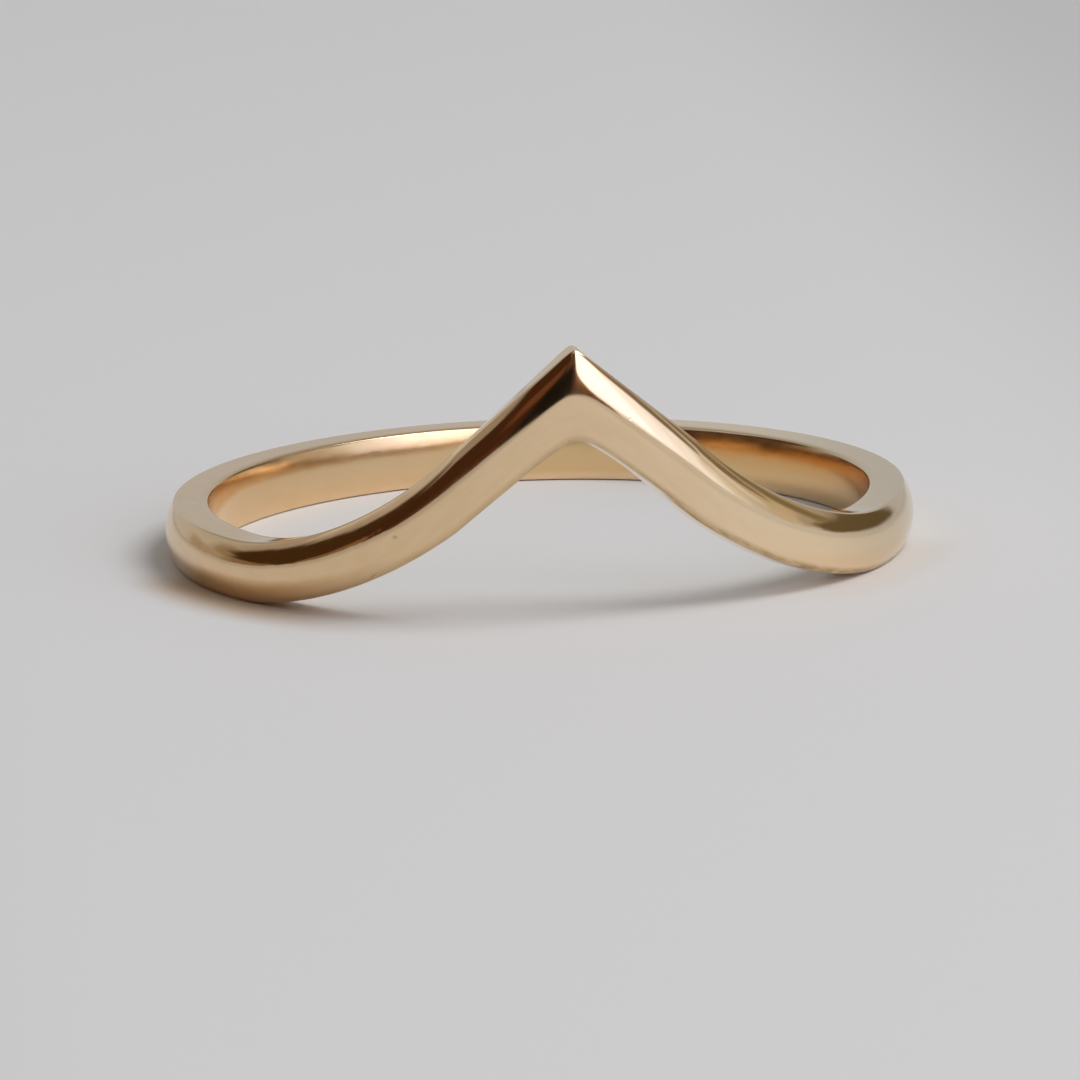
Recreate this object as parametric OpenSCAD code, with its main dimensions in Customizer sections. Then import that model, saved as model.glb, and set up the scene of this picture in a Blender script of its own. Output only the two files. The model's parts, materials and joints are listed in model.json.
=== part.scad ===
// A chevron ring: one band of polished gold around the finger that climbs to a peak at the front.
// It lies on its side, as the ring rests on a table: +Z is up and the peak stands towards -Y.
// The origin is on the axis of the finger hole, in the plane that the ring lies on.

/* [Finger hole] */
// Inside diameter of the ring, which is the diameter of the finger
finger_d = 17; // [15:0.5:22]

/* [Band] */
// Width of the band, from one side face to the other
band_w = 1.55; // [1.2:0.05:2.6]
// Thickness of the band at its two side faces
edge_t = 0.95; // [0.7:0.05:1.8]
// How far the middle of the outer face stands above its edges
crown_h = 0.25; // [0.1:0.05:0.5]
// Radius of the two outer corners
corner_r = 0.15; // [0.05:0.05:0.3]
// Width of the small bevel along the two inner edges
bevel_w = 0.1; // [0.05:0.05:0.25]

/* [Chevron] */
// How far the middle of the band climbs from the shank to the peak
peak_rise = 5.2; // [3:0.1:8]
// Slope of the two straight arms, in degrees
arm_slope = 41; // [32:1:52]
// Radius of the curve in which the shank turns up into each arm
shoulder_r = 10.6; // [4:0.1:12]
// How much the sharp peak is polished down at its upper edge, measured along the band
peak_soft = 0.1; // [0.04:0.02:0.6]
// How much it is polished down from the middle of the band to its lower edge
peak_round = 0.42; // [0.04:0.02:0.8]

/* [Hidden] */

// Radius of the finger hole, and of the middle of the wall, along which arcs are measured
finger_r = finger_d / 2;
middle_r = finger_r + (edge_t + crown_h) / 2;

// Half of the width, and the highest share of a rounding that its wall allows
half_w = band_w / 2;
corner = min(corner_r, edge_t / 3, half_w / 2);
bevel = min(bevel_w, edge_t / 4, half_w / 4);

// The crown is an arc over the whole width, and each corner is an arc that touches it
crown_r = (half_w * half_w + crown_h * crown_h) / (2 * crown_h);
crown_x = edge_t + crown_h - crown_r;
corner_v = half_w - corner;
corner_x = crown_x + sqrt(pow(crown_r - corner, 2) - pow(corner_v, 2));
corner_a = atan2(corner_v, corner_x - crown_x);

// The shoulder stays shorter than the climb, so that some straight arm is left
shoulder = min(shoulder_r, 0.9 * peak_rise / (1 - cos(arm_slope)));
shoulder_run = shoulder * sin(arm_slope);
shoulder_rise = shoulder * (1 - cos(arm_slope));
arm_run = (peak_rise - shoulder_rise) / tan(arm_slope);

// Half the length of the chevron along the band, and the angle that it takes at the finger
chevron_half = shoulder_run + arm_run;
chevron_a = chevron_half / middle_r * 180 / PI;

// The finger hole is bored through the shank and the feet of the shoulders.
// Past the place where the band has climbed half its width, the chevron's own sections line it.
bored_from = chevron_half - sqrt(2 * shoulder * half_w - half_w * half_w);
bore_spare = min(0.2, half_w / 3);
lining_gap = 0.002;

// Sections from the peak to each end of the chevron, closer together at the peak
sections = 40;
crowding = 1.6;
corner_steps = 4;
crown_steps = 10;
round_steps = 180;

// Points on an arc around centre c
function arc(c, r, from, to, steps) = [
    for (i = [0 : steps])
        let (a = from + (to - from) * i / steps)
        c + r * [cos(a), sin(a)]
];

// Outline of the band's section: x outwards from the finger hole's wall, y across the band.
// depth is how far the inner side stands into the hole, to be bored away.
function outline(depth) = concat(
    [[-depth, bevel + depth - half_w], [bevel, -half_w]],
    arc([corner_x, -corner_v], corner, -90, -corner_a, corner_steps),
    [
        for (i = [1 : crown_steps - 1])
            let (a = corner_a * (2 * i / crown_steps - 1))
            [crown_x + crown_r * cos(a), crown_r * sin(a)]
    ],
    arc([corner_x, corner_v], corner, corner_a, 90, corner_steps),
    [[bevel, half_w], [-depth, half_w - bevel - depth]]
);

// How much of the peak is polished away at the place y across the band
function polish(y) = let (share = min((half_w - y) / (0.8 * half_w), 1))
    peak_soft + (peak_round - peak_soft) * share * share * (3 - 2 * share);

// Distance from the foot of the shoulder at a distance s along the band from the peak
function from_foot(s, y) = chevron_half - sqrt(s * s + pow(polish(y), 2));

// Height of the band above the shank, and the slope there
function climb(s, y) = let (x = from_foot(s, y))
    x <= 0 ? 0 :
    x < shoulder_run ? shoulder - sqrt(shoulder * shoulder - x * x) :
    shoulder_rise + (x - shoulder_run) * tan(arm_slope);
function slope(s, y) = let (x = from_foot(s, y))
    x <= 0 ? 0 :
    x < shoulder_run ? asin(x / shoulder) :
    arm_slope;

// Where the sections stand along the band, from one foot over the peak to the other
places = [
    for (i = [-sections : sections])
        sign(i) * chevron_half * pow(abs(i) / sections, crowding)
];

// One section, stretched upwards with the slope so that the band keeps its width
function section(s) = let (a = s / middle_r * 180 / PI)
    [
        for (p = outline(abs(s) >= bored_from ? bore_spare : -lining_gap))
            [
                (finger_r + p.x) * sin(a),
                -(finger_r + p.x) * cos(a),
                half_w + climb(s, p.y) + p.y / cos(slope(s, p.y))
            ]
    ];

// Closed skin through a row of sections of n points each
function skin(rows, n) = concat(
    [[for (j = [n - 1 : -1 : 0]) j]],
    [
        for (i = [0 : rows - 2], j = [0 : n - 1])
            let (k = (j + 1) % n)
            each [
                [i * n + j, (i + 1) * n + k, (i + 1) * n + j],
                [i * n + j, i * n + k, (i + 1) * n + k]
            ]
    ],
    [[for (j = [0 : n - 1]) (rows - 1) * n + j]]
);

module shank() {
    rotate_extrude(angle = 360 - 2 * chevron_a, start = chevron_a - 90, $fn = round_steps)
        translate([finger_r, half_w])
            polygon(outline(bore_spare));
}

module chevron() {
    n = len(outline(0));
    polyhedron(
        points = [for (s = places) each section(s)],
        faces = skin(len(places), n)
    );
}

module finger_hole() {
    top = band_w + peak_rise + band_w;
    translate([0, 0, -band_w])
        cylinder(r = finger_r, h = band_w + top, $fn = round_steps);
}

module band() {
    color([0.84, 0.71, 0.5])
        difference() {
            union() {
                shank();
                chevron();
            }
            finger_hole();
        }
}

band();
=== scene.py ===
# %% [markdown]
# This lesson dresses a chevron ring: one slim band of polished gold that climbs to a peak at its front.
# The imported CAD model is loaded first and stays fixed, and everything else is made around it. A
# polished ring is mostly a mirror, so the shape, the metal and what it reflects are settled one after
# another.

import json
import math

import bmesh
import bpy
from mathutils import Matrix, Vector


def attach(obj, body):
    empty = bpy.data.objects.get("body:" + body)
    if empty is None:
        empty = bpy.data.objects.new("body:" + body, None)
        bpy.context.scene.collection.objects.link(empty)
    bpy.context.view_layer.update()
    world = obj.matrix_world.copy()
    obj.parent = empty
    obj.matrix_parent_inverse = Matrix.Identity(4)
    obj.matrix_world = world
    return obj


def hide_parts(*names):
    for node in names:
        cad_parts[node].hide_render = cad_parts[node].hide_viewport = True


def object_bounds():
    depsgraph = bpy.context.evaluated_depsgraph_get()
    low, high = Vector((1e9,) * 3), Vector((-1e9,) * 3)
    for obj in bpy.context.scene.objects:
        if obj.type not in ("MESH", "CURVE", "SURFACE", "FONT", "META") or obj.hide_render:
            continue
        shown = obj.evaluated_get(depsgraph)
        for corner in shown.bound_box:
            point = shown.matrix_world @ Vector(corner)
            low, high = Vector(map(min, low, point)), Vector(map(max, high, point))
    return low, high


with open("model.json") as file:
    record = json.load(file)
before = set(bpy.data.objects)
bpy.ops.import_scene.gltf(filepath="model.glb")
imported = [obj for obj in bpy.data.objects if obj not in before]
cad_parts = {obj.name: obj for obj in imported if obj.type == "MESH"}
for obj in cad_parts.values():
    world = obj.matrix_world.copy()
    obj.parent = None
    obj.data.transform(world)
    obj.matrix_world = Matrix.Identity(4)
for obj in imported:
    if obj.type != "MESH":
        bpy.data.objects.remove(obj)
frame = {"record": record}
cad_low, cad_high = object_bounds()
mm = 0.001
print("CAD box in mm:", [round(x / mm, 3) for x in (*cad_low, *cad_high)])

# %% [markdown]
# The real band has a section that a goldsmith calls court: a domed outside, two narrow flat sides, and
# an inside that is domed a little too, so that it slips over the knuckle. It could be a plain curve
# with a bevel, but then the dome and the inside could not be set apart. So the section is drawn point
# by point, with a few named sizes. The finger radius comes from the record's own mount, and the
# thickness from that and the CAD box.

# %% Named sizes
mounts = frame["record"]["mounts"]
finger_r = next(m for m in mounts if m["name"] == "finger_hole")["dims"]["r_mm"] * mm
band_t = cad_high.y - finger_r
crown_h = 0.25 * mm
edge_t = band_t - crown_h
half_w = 1.55 * mm / 2
inside_h = 0.09 * mm
outer_corner = 0.15 * mm
inner_corner = 0.22 * mm
middle_r = finger_r + band_t / 2
print("finger radius %.3f mm, band %.3f mm thick" % (finger_r / mm, band_t / mm))

# %% [markdown]
# Two arcs make the section: the crown outside and the shallow dome inside. Each is one vertex spun
# about the centre of its circle, and the radius of that circle follows from the arc's width and its
# height. The section stands in the XZ plane, at the finger's radius from the axis, with its middle at
# height zero.

# %% Two arcs of the section
def dome(bm, flat_x, height, steps, outwards):
    """Spins one vertex into an arc that rises by height over the band's width. Returns its two ends."""
    radius = (half_w ** 2 + height ** 2) / (2 * height)
    centre_x = flat_x + outwards * (height - radius)
    reach = math.asin(half_w / radius)
    first = bm.verts.new((flat_x, 0, -half_w))
    spun = bmesh.ops.spin(bm, geom=[first], cent=(centre_x, 0, 0), axis=(0, -outwards, 0),
                          angle=2 * reach, steps=steps, use_duplicate=False)
    last = next(g for g in spun["geom_last"] if isinstance(g, bmesh.types.BMVert))
    return first, last


bm = bmesh.new()
crown_low, crown_high = dome(bm, finger_r + edge_t, crown_h, steps=28, outwards=1)
inside_low, inside_high = dome(bm, finger_r + inside_h, inside_h, steps=16, outwards=-1)
bm.edges.new((crown_low, inside_low))
bm.edges.new((crown_high, inside_high))
print("section outline:", len(bm.verts), "points")

# %% [markdown]
# The four corners of the real section are worn round by polishing. The bevel operator rounds a corner
# vertex of a flat face, so the outline is filled first, its corners are bevelled, and the face is taken
# away again. The side faces get a few more points, so that the shading of the corners doesn't spread
# over the flat.

# %% Round the four corners
corner_steps, side_cuts = 8, 9
bmesh.ops.contextual_create(bm, geom=bm.edges[:])
for corner, radius in (((crown_low, crown_high), outer_corner), ((inside_low, inside_high), inner_corner)):
    bmesh.ops.bevel(bm, geom=list(corner), offset=radius, offset_type="OFFSET", affect="VERTICES",
                    segments=corner_steps, profile=0.5, material=-1)
bmesh.ops.delete(bm, geom=bm.faces[:], context="FACES_ONLY")
shortest_side = 0.3 * mm
sides = [e for e in bm.edges if e.calc_length() > shortest_side]
bmesh.ops.subdivide_edges(bm, edges=sides, cuts=side_cuts)
print("rounded outline:", len(bm.verts), "points,", len(sides), "flat sides")

# %% [markdown]
# Spinning the outline about the finger's axis gives a plain band. A full spin merges its last turn into
# its first, so the band has no seam. Each point then notes its place in the section in an attribute,
# and only after that the spans around the band are cut finer: a cut lies on a chord, but its note is
# exact, as notes are blended.

# %% Spin a plain band
spans, span_cuts = 80, 7
same_point, same_note = 0.0002 * mm, 0.001
bmesh.ops.spin(bm, geom=bm.verts[:] + bm.edges[:], cent=(0, 0, 0), axis=(0, 0, 1),
               angle=2 * math.pi, steps=spans, use_merge=True, use_duplicate=False)
bmesh.ops.remove_doubles(bm, verts=bm.verts[:], dist=same_point)
section_place = bm.verts.layers.float_vector.new("section_place")
for v in bm.verts:
    v[section_place] = ((v.co.xy.length - finger_r) / mm, v.co.z / mm, 0)
around = [e for e in bm.edges if (e.verts[0][section_place] - e.verts[1][section_place]).length < same_note]
bmesh.ops.subdivide_edges(bm, edges=around, cuts=span_cuts, use_grid_fill=True)
bmesh.ops.recalc_face_normals(bm, faces=bm.faces[:])
print("plain band:", len(bm.verts), "points,", len(bm.faces), "faces")

# %% [markdown]
# The chevron is the same band bent upwards. Its line is drawn on the unrolled band: a level shank, an
# arc in which each side turns up, a straight arm, and a mitre where the two arms meet. The mitre of the
# real ring is polished down: little at its upper edge, where a ridge is left, and more below, where the
# ridge fades away.

# %% The line of the chevron
arm_slope = math.radians(41)
shoulder_r = 10.6 * mm
peak_rise = 5.2 * mm
peak_soft = 0.10 * mm
peak_round = 0.42 * mm
shoulder_run = shoulder_r * math.sin(arm_slope)
shoulder_rise = shoulder_r * (1 - math.cos(arm_slope))
chevron_half = shoulder_run + (peak_rise - shoulder_rise) / math.tan(arm_slope)


def polish(across):
    """How much of the mitre is polished away at a height in the section."""
    share = min(max((half_w - across) / (0.8 * half_w), 0), 1)
    return peak_soft + (peak_round - peak_soft) * share * share * (3 - 2 * share)


def climb_and_slope(along, across):
    """How far the band has climbed at a place along it and at a height in its section, and its slope."""
    x = chevron_half - math.hypot(along, polish(across))
    if x <= 0:
        return 0.0, 0.0
    if x < shoulder_run:
        return shoulder_r - math.sqrt(shoulder_r ** 2 - x ** 2), math.asin(x / shoulder_r)
    return shoulder_rise + (x - shoulder_run) * math.tan(arm_slope), arm_slope


print("each arm starts %.1f degrees from the peak" % math.degrees(chevron_half / middle_r))

# %% [markdown]
# Every point of the plain band is now put where it belongs. The places around it are crowded towards
# the front, where the peak needs short steps, and spread out along the back, where the band is a plain
# arc. On a slope the section is stretched upwards, so that the band keeps its width when it is measured
# square to the arm.

# %% Bend the band into the chevron
crowding = 0.75
for v in bm.verts:
    turn = math.atan2(v.co.x, -v.co.y) / math.pi
    angle = math.pi * ((1 - crowding) * turn + crowding * turn ** 3)
    radius, across = finger_r + v[section_place].x * mm, v[section_place].y * mm
    rise, slope = climb_and_slope(middle_r * angle, across)
    v.co = (radius * math.sin(angle), -radius * math.cos(angle), half_w + rise + across / math.cos(slope))
print("band stands %.3f mm high, CAD %.3f mm" % (max(v.co.z for v in bm.verts) / mm, cad_high.z / mm))

# %% [markdown]
# The finished bmesh becomes a mesh on an object. A Subdivision modifier could make it smoother, but the
# spans are short enough to shade as one polished surface. The object stays at the origin, rides with
# the ring's own body and takes the place of the plain CAD band.

# %% Make the piece
mesh = bpy.data.meshes.new("chevron_band")
bm.to_mesh(mesh)
bm.free()
mesh.shade_smooth()
ring = bpy.data.objects.new("chevron_band", mesh)
bpy.context.scene.collection.objects.link(ring)
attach(ring, "root")
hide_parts("band")
print("piece:", ring.name, "with", len(mesh.polygons), "faces")

# %% [markdown]
# Every material here is a tree of small nodes, and each node takes a few lines to add, set and link. A
# tree could be put together by hand in the Shader Editor, but a script can be read, and run again. A
# few short helpers take up those lines, so that the recipes below read like sums: a node, a sum, a
# product and a smooth step.

# %% Helpers for nodes
def node(tree, kind, **settings):
    """A new node with its settings."""
    made = tree.nodes.new(kind)
    for name, value in settings.items():
        setattr(made, name, value)
    return made


def feed(tree, value, socket):
    """Links another node's output to a socket, or sets the socket to a value."""
    if isinstance(value, bpy.types.NodeSocket):
        tree.links.new(value, socket)
    else:
        socket.default_value = value


def maths(tree, operation, *values):
    """A Math node. A value is a number or another node's output."""
    made = node(tree, "ShaderNodeMath", operation=operation)
    for socket, value in zip(made.inputs, values):
        feed(tree, value, socket)
    return made.outputs[0]


def product(tree, first, *others):
    """The product of two or more values."""
    for other in others:
        first = maths(tree, "MULTIPLY", first, other)
    return first


def ramp_of(tree, value, low, high, to_low=0.0, to_high=1.0):
    """A smooth step of a value."""
    made = node(tree, "ShaderNodeMapRange", interpolation_type="SMOOTHSTEP")
    tree.links.new(value, made.inputs["Value"])
    for name, number in (("From Min", low), ("From Max", high), ("To Min", to_low), ("To Max", to_high)):
        feed(tree, number, made.inputs[name])
    return made.outputs["Result"]


print("helpers: node, feed, maths, product, ramp_of")

# %% [markdown]
# Three more helpers make larger things. One mixes two colours, one is a noise that can be stretched,
# and one makes a node group with named sockets. A group keeps a recipe apart from the values of this
# ring, so that it can be used again with other values.

# %% Helpers for colours, noise and groups
def blend(tree, factor, a, b):
    """Mixes colour a towards colour b. A colour is three numbers or another node's output."""
    made = node(tree, "ShaderNodeMix", data_type="RGBA")
    tree.links.new(factor, made.inputs["Factor"])
    for name, colour in (("A", a), ("B", b)):
        feed(tree, (*colour, 1) if isinstance(colour, tuple) else colour, made.inputs[name])
    return made.outputs["Result"]


def noise_of(tree, place, stretch, detail=2.0, roughness=0.5):
    """Noise between 0 and 1 at a place, stretched along each of its axes."""
    mapping = node(tree, "ShaderNodeMapping")
    mapping.inputs["Scale"].default_value = stretch
    tree.links.new(place, mapping.inputs["Vector"])
    made = node(tree, "ShaderNodeTexNoise")
    for name, number in (("Scale", 1.0), ("Detail", detail), ("Roughness", roughness)):
        made.inputs[name].default_value = number
    tree.links.new(mapping.outputs[0], made.inputs["Vector"])
    return made.outputs["Fac"]


def group(name, inputs, outputs):
    """A node group with named sockets. Returns the tree, its input node and its output node."""
    made = bpy.data.node_groups.new(name, "ShaderNodeTree")
    for socket, kind in inputs:
        made.interface.new_socket(socket, in_out="INPUT", socket_type="NodeSocket" + kind)
    for socket, kind in outputs:
        made.interface.new_socket(socket, in_out="OUTPUT", socket_type="NodeSocket" + kind)
    return made, node(made, "NodeGroupInput"), node(made, "NodeGroupOutput")


print("helpers: blend, noise_of, group")

# %% [markdown]
# A hand polish is never quite flat. Long waves run along the band, short ones are left where the buff
# was turned at the shoulders, and hairlines from wear run mostly along the band. Each is a noise whose
# place comes from the band itself: the place seen from above and the place in the section, so that
# nothing is stretched on the arms. A painted picture of them would blur close up. The three numbers of
# each grain say how fine its noise is along X, along Y and in the section. A fourth noise says how hazy
# the polish is.

# %% Group for the polish
wave_grain, ripple_grain = (0.7, 0.7, 0.9), (2.6, 2.6, 2.2)
hair_grain, haze_grain = (1.2, 1.2, 55.0), (1.6, 1.6, 4.0)
polish_group, got, give = group(
    "hand_polish", [("Place", "Vector"), ("Waves", "Float"), ("Ripples", "Float"), ("Hairlines", "Float")],
    [("Height", "Float"), ("Haze", "Float")])
on_band = got.outputs["Place"]
waves = product(polish_group, noise_of(polish_group, on_band, wave_grain), got.outputs["Waves"])
ripples = product(polish_group, noise_of(polish_group, on_band, ripple_grain), got.outputs["Ripples"])
fine_lines = noise_of(polish_group, on_band, hair_grain, detail=4.0, roughness=0.65)
hairlines = product(polish_group, fine_lines, got.outputs["Hairlines"])
height = maths(polish_group, "ADD", maths(polish_group, "ADD", waves, ripples), hairlines)
polish_group.links.new(height, give.inputs["Height"])
haze = noise_of(polish_group, on_band, haze_grain, detail=5.0, roughness=0.6)
polish_group.links.new(haze, give.inputs["Haze"])
print("group:", polish_group.name, "with", len(polish_group.nodes), "nodes")

# %% [markdown]
# Three marks of wear are on the ring in the picture: a nick on the line of the right arm, a dull pit on
# the left arm, and a fine scratch below it. Each is a dent around a point of the surface, in
# millimetres: a small ball pressed in for the nick and the pit, and for the scratch a needle that is
# turned along it. A Mapping node of the Texture kind turns the place around the dent's centre, so one
# recipe serves all three.

# %% Group for one dent
dent_group, got, give = group(
    "dent", [("Place", "Vector"), ("Centre", "Vector"), ("Turn", "Vector"), ("Size", "Vector")],
    [("Mask", "Float")])
into_dent = node(dent_group, "ShaderNodeMapping", vector_type="TEXTURE")
for socket, name in (("Place", "Vector"), ("Centre", "Location"), ("Turn", "Rotation"), ("Size", "Scale")):
    dent_group.links.new(got.outputs[socket], into_dent.inputs[name])
from_centre = node(dent_group, "ShaderNodeVectorMath", operation="LENGTH")
dent_group.links.new(into_dent.outputs[0], from_centre.inputs[0])
mask = ramp_of(dent_group, from_centre.outputs["Value"], 0.0, 1.0, to_low=1.0, to_high=0.0)
dent_group.links.new(mask, give.inputs["Mask"])
print("group:", dent_group.name, "with", len(dent_group.nodes), "nodes")

# %% [markdown]
# Gold is a metal, so it has no colour of its own under its surface: its base colour is what it does to
# a reflection. The material first finds out where on the ring it is. Object coordinates give the place
# in space, and the note in each point gives the place in the section: how deep, from the wall of the
# finger hole outwards, and how far across the band. A UV map could hold these too, but it would have to
# be cut open somewhere.

# %% Places on the ring
gold = bpy.data.materials.new("polished_gold")
gold.use_nodes = True
tree = gold.node_tree
principled = tree.nodes["Principled BSDF"]
principled.inputs["Metallic"].default_value = 1.0
in_mm = node(tree, "ShaderNodeMapping")
in_mm.inputs["Scale"].default_value = (1000, 1000, 1000)
tree.links.new(node(tree, "ShaderNodeTexCoord").outputs["Object"], in_mm.inputs["Vector"])
place = in_mm.outputs[0]
plan = node(tree, "ShaderNodeSeparateXYZ")
tree.links.new(place, plan.inputs[0])
to_right, to_back = plan.outputs["X"], plan.outputs["Y"]
note = node(tree, "ShaderNodeAttribute", attribute_name="section_place")
in_section = node(tree, "ShaderNodeSeparateXYZ")
tree.links.new(note.outputs["Vector"], in_section.inputs[0])
deep, across = in_section.outputs["X"], in_section.outputs["Y"]
on_band = node(tree, "ShaderNodeCombineXYZ")
for value, axis in ((to_right, "X"), (to_back, "Y"), (maths(tree, "ADD", across, deep), "Z")):
    tree.links.new(value, on_band.inputs[axis])
print("places: in space, in the section and on the band")

# %% [markdown]
# The dark line along the left arm has a ragged lower border in two places, where the buff was turned. A
# mirror shows a ripple of a few thousandths of a millimetre, so the ripples are strong only around
# those two places and only on the lower part of the crown, and the upper border of the line stays
# clean. Each place has a centre, the distance at which its ripples end, and their height. All of it is
# in millimetres.

# %% Polish on this ring
wave_height, ripple_height, hair_height = 0.010, 0.0010, 0.00010
ripple_spots = (((-5.1, -8.2, 2.25), 0.9, 0.0060), ((-7.1, -6.5, 1.40), 1.3, 0.0040))
spot_core = 0.3
turned_buff = ripple_height
for centre, end, spot_height in ripple_spots:
    from_spot = node(tree, "ShaderNodeVectorMath", operation="DISTANCE")
    tree.links.new(place, from_spot.inputs[0])
    from_spot.inputs[1].default_value = centre
    spot = ramp_of(tree, from_spot.outputs["Value"], spot_core, end, to_low=spot_height, to_high=0.0)
    turned_buff = maths(tree, "ADD", spot, turned_buff)
low_on_crown = ramp_of(tree, across, 0.48, 0.34)
polished = node(tree, "ShaderNodeGroup", node_tree=polish_group)
tree.links.new(on_band.outputs[0], polished.inputs["Place"])
tree.links.new(product(tree, turned_buff, low_on_crown), polished.inputs["Ripples"])
polished.inputs["Waves"].default_value = wave_height
polished.inputs["Hairlines"].default_value = hair_height
haze = polished.outputs["Haze"]
print("polish with", len(ripple_spots), "rippled places")

# %% [markdown]
# The three dents are pressed into the same height as the polish, and one Bump node turns that height
# into a slope for the reflection. Cutting them into the mesh would need far more faces, for marks that
# are no wider than a few hairs. Each has a centre, a turn in degrees, its half sizes and its depth.

# %% Marks of wear
nick = ((1.338, -9.585, 5.145), (0, 0, 0), (0.05, 0.05, 0.05), 0.0011)
pit = ((-4.530, -8.575, 2.242), (0, 0, 0), (0.13, 0.13, 0.08), 0.0040)
scratch = ((-5.066, -8.042, 1.164), (0, -40.9, -45.6), (0.24, 0.028, 0.028), 0.0030)
height = polished.outputs["Height"]
masks = []
for centre, turn, size, depth in (nick, pit, scratch):
    dent = node(tree, "ShaderNodeGroup", node_tree=dent_group)
    tree.links.new(place, dent.inputs["Place"])
    dent.inputs["Centre"].default_value = centre
    dent.inputs["Turn"].default_value = [math.radians(degrees) for degrees in turn]
    dent.inputs["Size"].default_value = size
    height = maths(tree, "SUBTRACT", height, product(tree, dent.outputs["Mask"], depth))
    masks.append(dent.outputs["Mask"])
in_pit, in_scratch = masks[1:]
bump = node(tree, "ShaderNodeBump")
bump.inputs["Distance"].default_value = mm
tree.links.new(height, bump.inputs["Height"])
tree.links.new(bump.outputs["Normal"], principled.inputs["Normal"])
print("marks of wear:", len(masks))

# %% [markdown]
# A good hand polish has a roughness of about a twentieth, with a faint haze from handling. The inside
# is never polished as well as the outside, so its highlights are wider, and the floor of the pit is
# dull. One number for all of it would give every highlight the same border.

# %% Gloss
glossy, hazy = 0.055, 0.10
inside_duller, pit_duller = 0.10, 0.35
inside_wall = ramp_of(tree, deep, 0.30, 0.12)
gloss = ramp_of(tree, haze, 0.35, 0.75, to_low=glossy, to_high=hazy)
for mask, duller in ((inside_wall, inside_duller), (in_pit, pit_duller)):
    gloss = maths(tree, "ADD", gloss, product(tree, mask, duller))
tree.links.new(gloss, principled.inputs["Roughness"])
print("roughness of the outside: %.3f to %.3f" % (glossy, hazy))

# %% [markdown]
# This alloy is a soft yellow one, and its colour isn't even. Part of that is painted light and shade: the
# gold is painted darker on the left arm, where it mirrors its own shadow on the board, paler on the right
# arm, where it mirrors the lit board, and darker and cooler at the right end, where it mirrors the board
# out of the light. A faint cloudiness that follows the haze of the polish is its own. Along the lower
# edge a painted shade, in uneven streaks, stands in for the gold mirroring its shadow below it, and beside
# the peak a painted highlight makes that edge bright. A single base colour would look like plastic, so
# the tones are laid over each other, each with its own mask. The borders of the masks are in
# millimetres.

# %% Tones of the outside, with painted shade and highlight
# Colours: a deeper gold for the painted shade on the left, a paler one for the painted light on the right and
# for cloudiness, and a darker cool one for the painted shade at the right end.
painted_shade_gold, painted_lit_and_cloudy_gold, cool_painted_shade = (0.820, 0.590, 0.345), (0.985, 0.775, 0.520), (0.775, 0.630, 0.430)
# A dark tone for the painted shade along the lower edge, and a near white for the painted highlight beside
# the peak.
painted_edge_shade, painted_highlight = (0.460, 0.310, 0.150), (0.990, 0.910, 0.790)
# Painted light and shade: paler towards the right and on the right arm, darker to the left, with a real
# cloudiness from the haze.
painted_light_to_right = ramp_of(tree, to_right, -7.0, 7.0, to_high=0.8)
painted_light_on_right_arm = ramp_of(tree, to_right, 2.5, 5.0, to_high=0.2)
cloudy = ramp_of(tree, haze, 0.30, 0.70, to_high=0.2)
painted_light_and_cloud = maths(tree, "ADD", maths(tree, "ADD", painted_light_to_right, painted_light_on_right_arm), cloudy)
# Painted shade: the right end is made darker and cooler.
painted_shade_at_right_end = ramp_of(tree, to_right, 6.0, 9.3)
low_edge = product(tree, ramp_of(tree, across, -0.56, -0.74), ramp_of(tree, deep, 0.80, 0.94))
# The painted shade along the lower edge is stronger to the right and falls in uneven streaks.
more_at_right = ramp_of(tree, to_right, -2.0, 2.0, to_low=0.45, to_high=0.90)
streaks = ramp_of(tree, haze, 0.35, 0.62, to_low=0.55, to_high=1.1)
# Painted highlight: the very lower edge beside the peak is made almost white.
beside_peak = product(tree, ramp_of(tree, to_right, 0.1, 0.5), ramp_of(tree, to_right, 2.6, 2.0))
very_edge = ramp_of(tree, across, -0.68, -0.755)
painted_shade_on_low_edge = product(tree, low_edge, more_at_right, streaks)
painted_highlight_on_edge = product(tree, low_edge, beside_peak, very_edge)
metal = painted_shade_gold
for mask, tone in ((painted_light_and_cloud, painted_lit_and_cloudy_gold), (painted_shade_at_right_end, cool_painted_shade), (painted_shade_on_low_edge, painted_edge_shade), (painted_highlight_on_edge, painted_highlight)):
    metal = blend(tree, mask, metal, tone)
print("tones of the outside:", painted_shade_gold, painted_lit_and_cloudy_gold, cool_painted_shade, painted_edge_shade, painted_highlight)

# %% [markdown]
# The inside is painted deeper and more orange than the outside, most of all high up on the right: a
# painted reflection and shade, for gold that mirrors gold and the dark around it. Dirt sits in the
# pit and in the scratch. These tones are laid over the others in the same way.

# %% Painted reflection on the inside, and dirt
# Colours of the painted reflection inside, deeper and amber, and of the dirt.
inside_painted_reflection, amber_painted_reflection, dirt = (0.830, 0.580, 0.300), (0.720, 0.400, 0.140), (0.420, 0.270, 0.120)
pit_dirt, scratch_dirt = 0.35, 0.8
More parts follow.
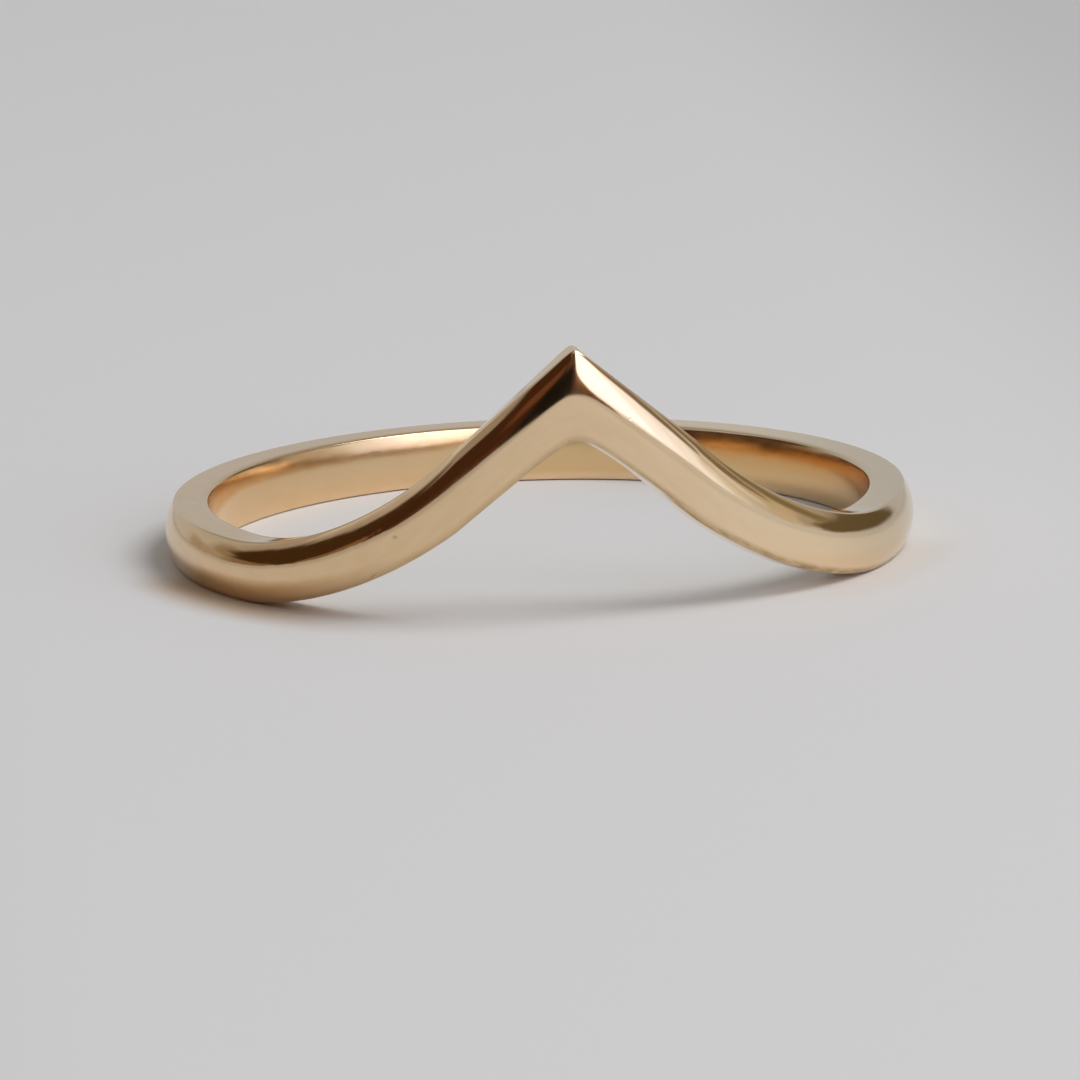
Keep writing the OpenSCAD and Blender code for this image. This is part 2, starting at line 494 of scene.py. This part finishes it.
# Painted reflection and shade: the inside is made deeper, and amber high up on the right.
inner_face = ramp_of(tree, deep, 0.07, 0.03)
deeper_at_right = ramp_of(tree, to_right, -5.0, 2.0, to_low=0.3)
high_at_right = product(tree, ramp_of(tree, to_right, 3.0, 6.0), ramp_of(tree, across, -0.4, 0.4))
painted_reflection_inside = product(tree, inner_face, deeper_at_right)
painted_amber_inside = product(tree, inner_face, high_at_right)
dirty = maths(tree, "ADD", product(tree, in_pit, pit_dirt), product(tree, in_scratch, scratch_dirt))
for mask, tone in ((painted_reflection_inside, inside_painted_reflection), (painted_amber_inside, amber_painted_reflection), (dirty, dirt)):
    metal = blend(tree, mask, metal, tone)
tree.links.new(metal, principled.inputs["Base Color"])
mesh.materials.append(gold)
print("material:", gold.name, "with", len(tree.nodes), "nodes")

# %% [markdown]
# The floor is a plain pale board, wide enough to be all that the camera sees behind the ring. Most of
# the gold mirrors this board. A backdrop that curves up would do as well, but a flat floor keeps the
# mirrored horizon.

# %% Floor
floor_reach = 1.5
floor_bm = bmesh.new()
bmesh.ops.create_grid(floor_bm, x_segments=1, y_segments=1, size=floor_reach)
floor_mesh = bpy.data.meshes.new("floor")
floor_bm.to_mesh(floor_mesh)
floor_bm.free()
floor = bpy.data.objects.new("floor", floor_mesh)
bpy.context.scene.collection.objects.link(floor)
print("floor: %.0f m wide" % (2 * floor_reach))

# %% [markdown]
# A painted pool of light lies on the board around the ring, so outside the camera's view the board is a
# shade darker on both sides, and the two ends of the ring show it. Right beside the low ends of the
# front, most of all on the left, a painted shadow makes the board darker and warm. It stands in for the
# deep shadow there and for the warm light that the gold throws on the board, which takes very long to
# render.

# %% Pale board, with a painted pool of light and a painted shadow
# A darker warm tone for the painted shadow beside the ring.
pale, painted_warm_shadow = (0.87, 0.87, 0.87), (0.63, 0.48, 0.34)
board = bpy.data.materials.new("pale_board")
board.use_nodes = True
tree = board.node_tree
principled = tree.nodes["Principled BSDF"]
principled.inputs["Roughness"].default_value = 0.9
principled.inputs["Specular IOR Level"].default_value = 0.2
on_board = node(tree, "ShaderNodeTexCoord").outputs["Object"]
plan = node(tree, "ShaderNodeSeparateXYZ")
tree.links.new(on_board, plan.inputs[0])
to_side = maths(tree, "ABSOLUTE", plan.outputs["X"])
from_middle = node(tree, "ShaderNodeVectorMath", operation="LENGTH")
tree.links.new(on_board, from_middle.inputs[0])
away = from_middle.outputs["Value"]
# Painted shadow: darker and warm beside the low ends of the front, most of all on the left.
beside_ring = product(tree, ramp_of(tree, away, 11.4 * mm, 9.8 * mm), ramp_of(tree, away, 8.8 * mm, 9.5 * mm))
in_front = ramp_of(tree, plan.outputs["Y"], -0.5 * mm, -3.0 * mm)
at_ends = ramp_of(tree, to_side, 5.0 * mm, 8.5 * mm)
more_at_left = ramp_of(tree, plan.outputs["X"], 2.0 * mm, -2.0 * mm, to_low=0.2)
board_with_painted_shadow = blend(tree, product(tree, beside_ring, in_front, at_ends, more_at_left), pale, painted_warm_shadow)
# Painted pool of light: the board is darker on both sides, away from the ring.
pool = ramp_of(tree, to_side, 13.0 * mm, 29.0 * mm, to_low=1.0, to_high=0.83)
shaded = node(tree, "ShaderNodeVectorMath", operation="SCALE")
tree.links.new(board_with_painted_shadow, shaded.inputs[0])
tree.links.new(pool, shaded.inputs["Scale"])
tree.links.new(shaded.outputs["Vector"], principled.inputs["Base Color"])
floor_mesh.materials.append(board)
print("material:", board.name, "with", len(tree.nodes), "nodes")

# %% [markdown]
# A mirror shows the studio around it, so the studio is made with care. A photographed studio could be
# wrapped around the ring, but here it is drawn as soft patches of light and dark. Angles are in degrees
# and as the camera has them: side is how far a direction lies to the right, and over goes up from the
# far horizon, past the ceiling, to the horizon behind the camera. The seam of that angle is put
# straight down, under the floor.

# %% Directions in the studio
camera_turn = math.radians(6)
world = bpy.data.worlds.new("studio")
bpy.context.scene.world = world
world.use_nodes = True
tree = world.node_tree
tree.nodes.clear()
turned = node(tree, "ShaderNodeVectorRotate", rotation_type="Z_AXIS")
turned.inputs["Angle"].default_value = camera_turn
tree.links.new(node(tree, "ShaderNodeTexCoord").outputs["Generated"], turned.inputs["Vector"])
parts = node(tree, "ShaderNodeSeparateXYZ")
tree.links.new(turned.outputs[0], parts.inputs[0])
side = maths(tree, "DEGREES", maths(tree, "ARCSINE", parts.outputs["X"]))
half_turn_over = maths(tree, "DEGREES", maths(tree, "ARCTAN2", parts.outputs["Z"], parts.outputs["Y"]))
over = maths(tree, "WRAP", half_turn_over, 270.0, -90.0)
print("studio turned by %.0f degrees, like the camera" % math.degrees(camera_turn))

# %% [markdown]
# The walls are grey. Above and to the right is a dim ceiling with a few paler and darker parts, and
# behind the camera a large bright light, which makes the white facet beside the peak. On the left stand
# unlit black screens, which draw the dark line along the left arm, and a pale strip beside them draws
# the light line above it. In each row are the middle, the half width and height, the softness of the
# border, the colour and sometimes a slant.

# %% Patches of light and dark
ceiling_and_right_wall = (
    ((0, 78), (46, 48), 30, (0.28, 0.28, 0.27)),
    ((66, 72), (18, 58), 8, (0.36, 0.31, 0.25)),
    ((59, 68), (4, 10), 3, (0.56, 0.66, 0.88)),
    ((79, 68), (8, 24), 8, (0.48, 0.41, 0.30)),
    ((66, 90), (7, 9), 5, (0.22, 0.17, 0.12)),
    ((64, 105), (10, 5), 4, (0.42, 0.42, 0.42)),
    ((77, 112), (6, 18), 8, (0.64, 0.61, 0.58)),
    ((61, 121), (12, 8), 5, (0.21, 0.17, 0.13)),
    ((88, 100), (6, 60), 8, (0.50, 0.44, 0.36)),
    ((58, 16), (19, 12), 7, (0.12, 0.09, 0.048)),
    ((64, 42), (5, 14), 6, (0.19, 0.15, 0.08)),
    ((72, 80), (3, 18), 4, (0.20, 0.15, 0.09)),
)
left_wall_and_pale_strip = (
    ((-62, 88), (6, 46), 6, (0.38, 0.34, 0.31)),
    ((-64, 26), (7, 14), 10, (0.30, 0.25, 0.19)),
    ((-58, 5), (14, 8), 8, (0.38, 0.33, 0.27)),
    ((-46, 135), (12, 14), 8, (0.33, 0.29, 0.26)),
    ((-57, 96), (5, 28), 8, (0.66, 0.67, 0.72)),
)
black_screens_on_the_left = (
    ((-85, 92), (17, 76), 5, (0.055, 0.028, 0.010)),
    ((-66, 155), (9, 22), 6, (0.055, 0.026, 0.010)),
    ((-73, 42), (9, 15), 6, (0.055, 0.028, 0.010)),
    ((-76, 64), (10, 14), 6, (0.055, 0.028, 0.010)),
    ((-74, 98), (6, 14), 4, (0.055, 0.028, 0.010)),
    ((-66, 134), (12, 15), 12, (0.055, 0.028, 0.010), 3.0),
    ((-84, 4), (16, 14), 8, (0.24, 0.16, 0.09)),
)
large_light = (
    ((47, 158), (31, 24), 7, (0.66, 0.62, 0.56)),
    ((44, 158), (26, 24), 10, (0.97, 1.02, 1.18)),
    ((38, 158), (20, 24), 8, (1.30, 1.20, 1.48)),
    ((32, 153), (17, 22), 8, (1.80, 1.75, 2.00)),
    ((50, 180), (24, 3), 3, (0.80, 0.80, 0.88)),
)
behind_the_camera = (
    ((17, 177.7), (11, 7), 3, (0.27, 0.145, 0.08), 0.7),
    ((26, 183), (7.5, 6.5), 3, (0.14, 0.07, 0.035), 0.25),
    ((14, 179), (4.5, 4), 5, (0.12, 0.06, 0.035)),
    ((-30, 165), (34, 18), 6, (0.055, 0.022, 0.010)),
    ((-25, 138), (15, 24), 6, (0.055, 0.022, 0.010)),
    ((-21, 160), (9, 5), 6, (0.14, 0.055, 0.027)),
    ((-38, 178), (16, 3), 4, (0.085, 0.034, 0.018)),
    ((-75, 175), (14, 7), 6, (0.22, 0.13, 0.06)),
    ((2, 162), (11, 24), 5, (0.10, 0.055, 0.035)),
    ((-5, 174), (14, 11), 8, (0.012, 0.009, 0.007)),
)
patches = (*ceiling_and_right_wall, *left_wall_and_pale_strip, *black_screens_on_the_left, *large_light,
           *behind_the_camera)
print("studio patches:", len(patches))

# %% [markdown]
# A patch is a mask over the two angles, and its colour covers the colours of earlier patches there. The
# mask is a chain of four ramps, one for each border, and each takes the last one's result as its own
# height. Four separate masks could be multiplied instead, but that takes three nodes more for each
# patch.

# %% Studio walls
def patch(middle, half, soft, slant=0.0):
    """A mask that is 1 inside a patch of directions and fades to 0 outside it. All values are in degrees.
    A slanted patch rises to the right by slant degrees for each degree."""
    height = over
    if slant:
        height = maths(tree, "SUBTRACT", over, maths(tree, "MULTIPLY_ADD", side, slant, -slant * middle[0]))
    mask = 1.0
    for angle, centre, reach in zip((side, height), middle, half):
        first, last = centre - reach, centre + reach
        mask = ramp_of(tree, angle, first - soft / 2, first + soft / 2, to_low=0.0, to_high=mask)
        mask = ramp_of(tree, angle, last - soft / 2, last + soft / 2, to_low=mask, to_high=0.0)
    return mask


studio = (0.50, 0.50, 0.50)
for middle, half, soft, colour, *slant in patches:
    studio = blend(tree, patch(middle, half, soft, *slant), studio, colour)
background = node(tree, "ShaderNodeBackground")
tree.links.new(studio, background.inputs["Color"])
tree.links.new(background.outputs[0], node(tree, "ShaderNodeOutputWorld").inputs["Surface"])
print("studio:", len(tree.nodes), "nodes")

# %% [markdown]
# The studio alone would light the board so evenly that the ring seemed to float. One softbox high above
# the ring, to the right and a little towards the camera, gives the soft shadows that tie the ring to
# the board. A small lamp or a sun would make their borders hard.

# %% Soft light
def from_camera_side(side_deg, over_deg):
    """The direction in the ring's own frame of a place in the studio."""
    s, o = math.radians(side_deg), math.radians(over_deg)
    d = Vector((math.sin(s), math.cos(s) * math.cos(o), math.cos(s) * math.sin(o)))
    return Matrix.Rotation(-camera_turn, 3, "Z") @ d


def softbox(name, side_deg, over_deg, distance, width, height, radiance):
    """A rectangular light that faces the ring, with its long sides level."""
    light = bpy.data.lights.new(name, "AREA")
    light.shape = "RECTANGLE"
    light.size, light.size_y = width, height
    light.energy = radiance * math.pi * width * height
    box = bpy.data.objects.new(name, light)
    bpy.context.scene.collection.objects.link(box)
    d = from_camera_side(side_deg, over_deg)
    box.location = d * distance
    box.rotation_euler = d.to_track_quat("Z", "Y").to_euler()
    return box


key = softbox("key_light", side_deg=32, over_deg=103, distance=0.45, width=0.28, height=0.22, radiance=4.42)
print("key light: %.2f W" % key.data.energy)

# %% [markdown]
# The camera looks at the ring from a hand's span away with a long lens, twelve degrees above the floor
# and six degrees to the left of the peak. From nearer, with a shorter lens, the front would look too
# large for the back. The picture leans by less than two degrees, so the camera is rolled by as much.
# The colours go out as they are, without a film look, so that the pale floor stays as pale as the board
# is.

# %% Camera
look_down = math.radians(11.9)
roll = math.radians(-1.638)
distance = 0.230
aim = Vector((0, 0, 0.17 * mm))
camera_data = bpy.data.cameras.new("camera")
camera_data.sensor_width = 36
camera_data.lens = 295.3
camera_data.clip_start = 0.005
camera_data.clip_end = 10
camera = bpy.data.objects.new("camera", camera_data)
bpy.context.scene.collection.objects.link(camera)
bpy.context.scene.camera = camera
level = math.cos(look_down)
camera.location = distance * Vector((-level * math.sin(camera_turn), -level * math.cos(camera_turn),
                                     math.sin(look_down)))
facing = (camera.location - aim).to_track_quat("Z", "Y").to_matrix().to_4x4()
camera.matrix_world = Matrix.Translation(camera.location) @ facing @ Matrix.Rotation(roll, 4, "Z")
bpy.context.scene.view_settings.view_transform = "Standard"
print("camera: %.0f mm away with a %.0f mm lens" % (distance / mm, camera_data.lens))
